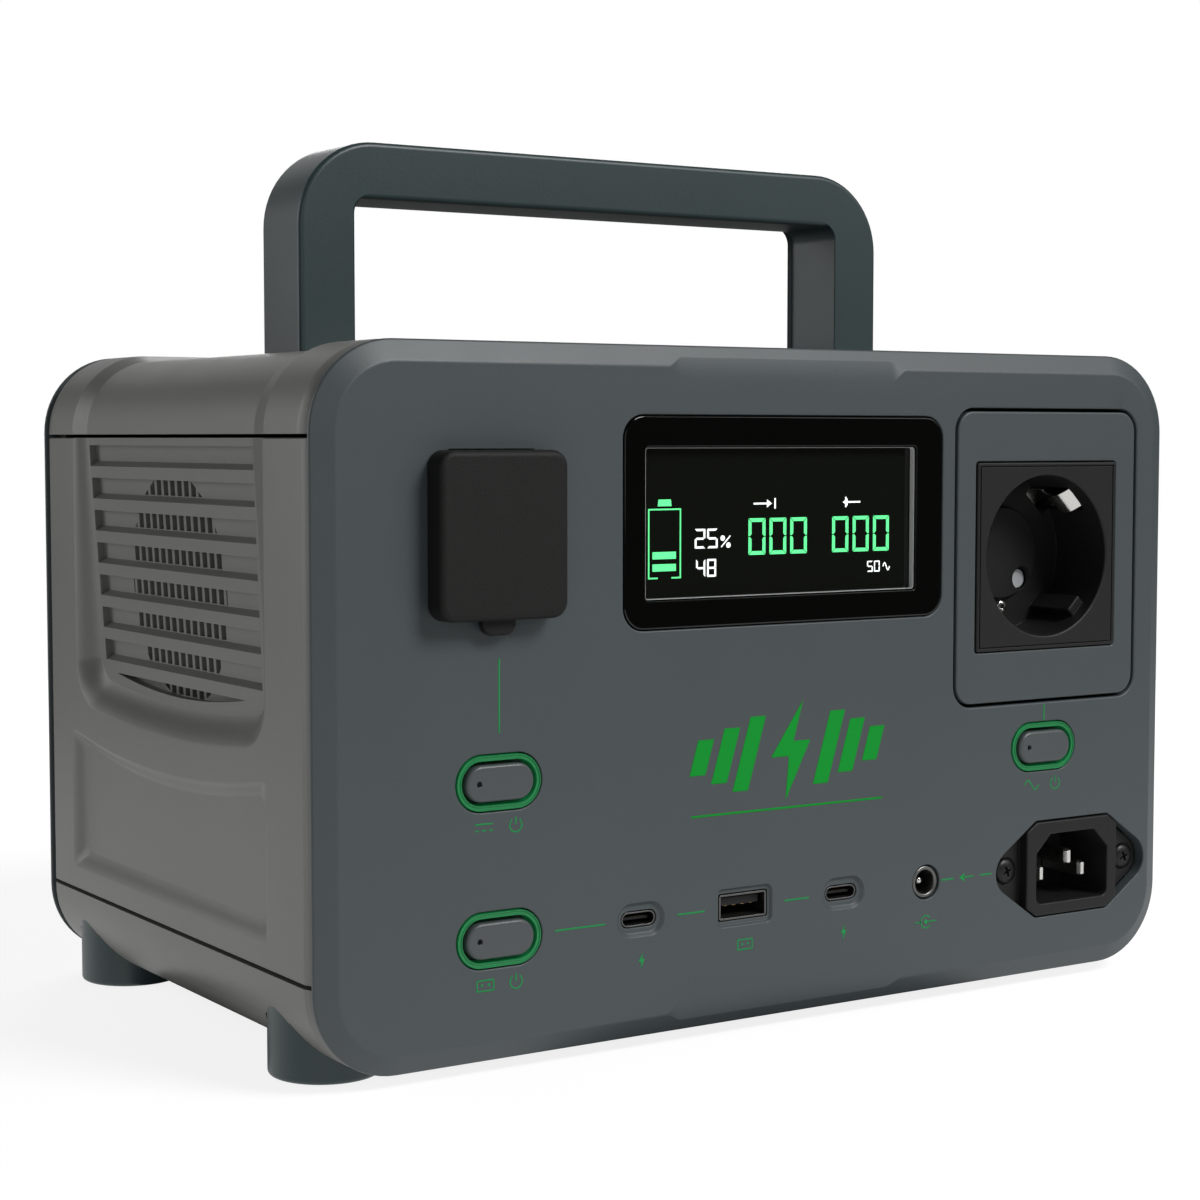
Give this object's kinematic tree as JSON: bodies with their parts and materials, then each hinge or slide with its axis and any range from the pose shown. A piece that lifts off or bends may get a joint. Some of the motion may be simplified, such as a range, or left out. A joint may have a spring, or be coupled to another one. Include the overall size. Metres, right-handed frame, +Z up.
{
  "type": "portable power station",
  "caption": "Portable power station: louvred plastic case with fixed carry handle, display, round-well AC socket, mains inlet, USB and DC ports, lit push buttons and a flap-covered 12 V outlet.",
  "frame": {"origin": "centre of the bounding box, on the plane under the feet", "axes": "+X to the right of the front panel, +Y from the front to the rear, +Z up"},
  "size_m": [0.2406, 0.162, 0.206],
  "materials": {
    "front_grey": "satin, fine moulded texture",
    "case_grey": "satin, fine moulded texture",
    "dark_teal": "satin",
    "black_plastic": "fine matte",
    "button_grey": "satin",
    "black_rubber": "grained matte",
    "display_glass": "gloss black",
    "green_light": "translucent",
    "contact_metal": "bright",
    "black_steel": "blackened",
    "circuit_board": "solder mask",
    "heat_sink_aluminium": "extruded",
    "ferrite": "matte",
    "cell_wrap": "shrink film"
  },
  "bodies": {
    "case": {"front_cover": "front_grey", "rear_cover": "front_grey", "socket_surround": "front_grey", "top_cover": "case_grey", "bottom_shell": "case_grey", "left_side_panel": "case_grey", "right_side_panel": "case_grey", "carry_handle": "dark_teal", "foot_front_left": "dark_teal", "foot_front_right": "dark_teal", "foot_rear_left": "dark_teal", "foot_rear_right": "dark_teal", "display_window": "display_glass", "lcd_module": "black_plastic", "socket_insert": "black_plastic", "socket_earth_strap": "contact_metal", "socket_contact_left": "contact_metal", "socket_contact_right": "contact_metal", "inlet_body": "black_plastic", "inlet_pin_earth": "contact_metal", "inlet_pin_line": "contact_metal", "inlet_pin_neutral": "contact_metal", "inlet_screw_left": "black_steel", "inlet_screw_right": "black_steel", "handle_screw_left": "black_steel", "handle_screw_right": "black_steel", "car_socket_barrel": "black_plastic", "car_socket_contact": "contact_metal", "flap_anchor": "black_rubber", "control_board": "circuit_board", "inverter_board": "circuit_board", "bms_board": "circuit_board", "usb_c_shell_left": "contact_metal", "usb_c_shell_right": "contact_metal", "usb_a_shell": "contact_metal", "usb_c_tongue_left": "black_plastic", "usb_c_tongue_right": "black_plastic", "usb_a_tongue": "black_plastic", "dc_jack": "contact_metal", "dc_jack_pin": "contact_metal", "heat_sink": "heat_sink_aluminium", "transformer": "ferrite", "cell_holder_left": "black_plastic", "cell_holder_right": "black_plastic", "fan_frame": "black_plastic", "dc_light_ring": "green_light", "dc_switch": "black_plastic", "usb_light_ring": "green_light", "usb_switch": "black_plastic", "ac_light_ring": "green_light", "ac_switch": "black_plastic", "battery_cell_1": "cell_wrap", "battery_cell_2": "cell_wrap", "battery_cell_3": "cell_wrap", "battery_cell_4": "cell_wrap"},
    "dc_button": {"dc_button": "button_grey"},
    "usb_button": {"usb_button": "button_grey"},
    "ac_button": {"ac_button": "button_grey"},
    "socket_flap": {"socket_flap": "black_rubber"},
    "fan_rotor": {"fan_rotor": "black_plastic"}
  },
  "joints": [
    {"name": "dc_button_press", "type": "slide", "parent": "case", "child": "dc_button", "axis": [0, 1, 0], "range_m": [0, 0.0012], "stiffness_N_per_m": 600},
    {"name": "usb_button_press", "type": "slide", "parent": "case", "child": "usb_button", "axis": [0, 1, 0], "range_m": [0, 0.0012], "stiffness_N_per_m": 600},
    {"name": "ac_button_press", "type": "slide", "parent": "case", "child": "ac_button", "axis": [0, 1, 0], "range_m": [0, 0.0012], "stiffness_N_per_m": 600},
    {"name": "flap_hinge", "type": "hinge", "parent": "case", "child": "socket_flap", "pos_m": [-0.0789, -0.076, 0.1336], "axis": [-1, 0, 0], "range_deg": [0, 105]},
    {"name": "fan_spin", "type": "hinge", "parent": "case", "child": "fan_rotor", "pos_m": [-0.1028, 0.006, 0.1015], "axis": [1, 0, 0], "continuous": true}
  ]
}
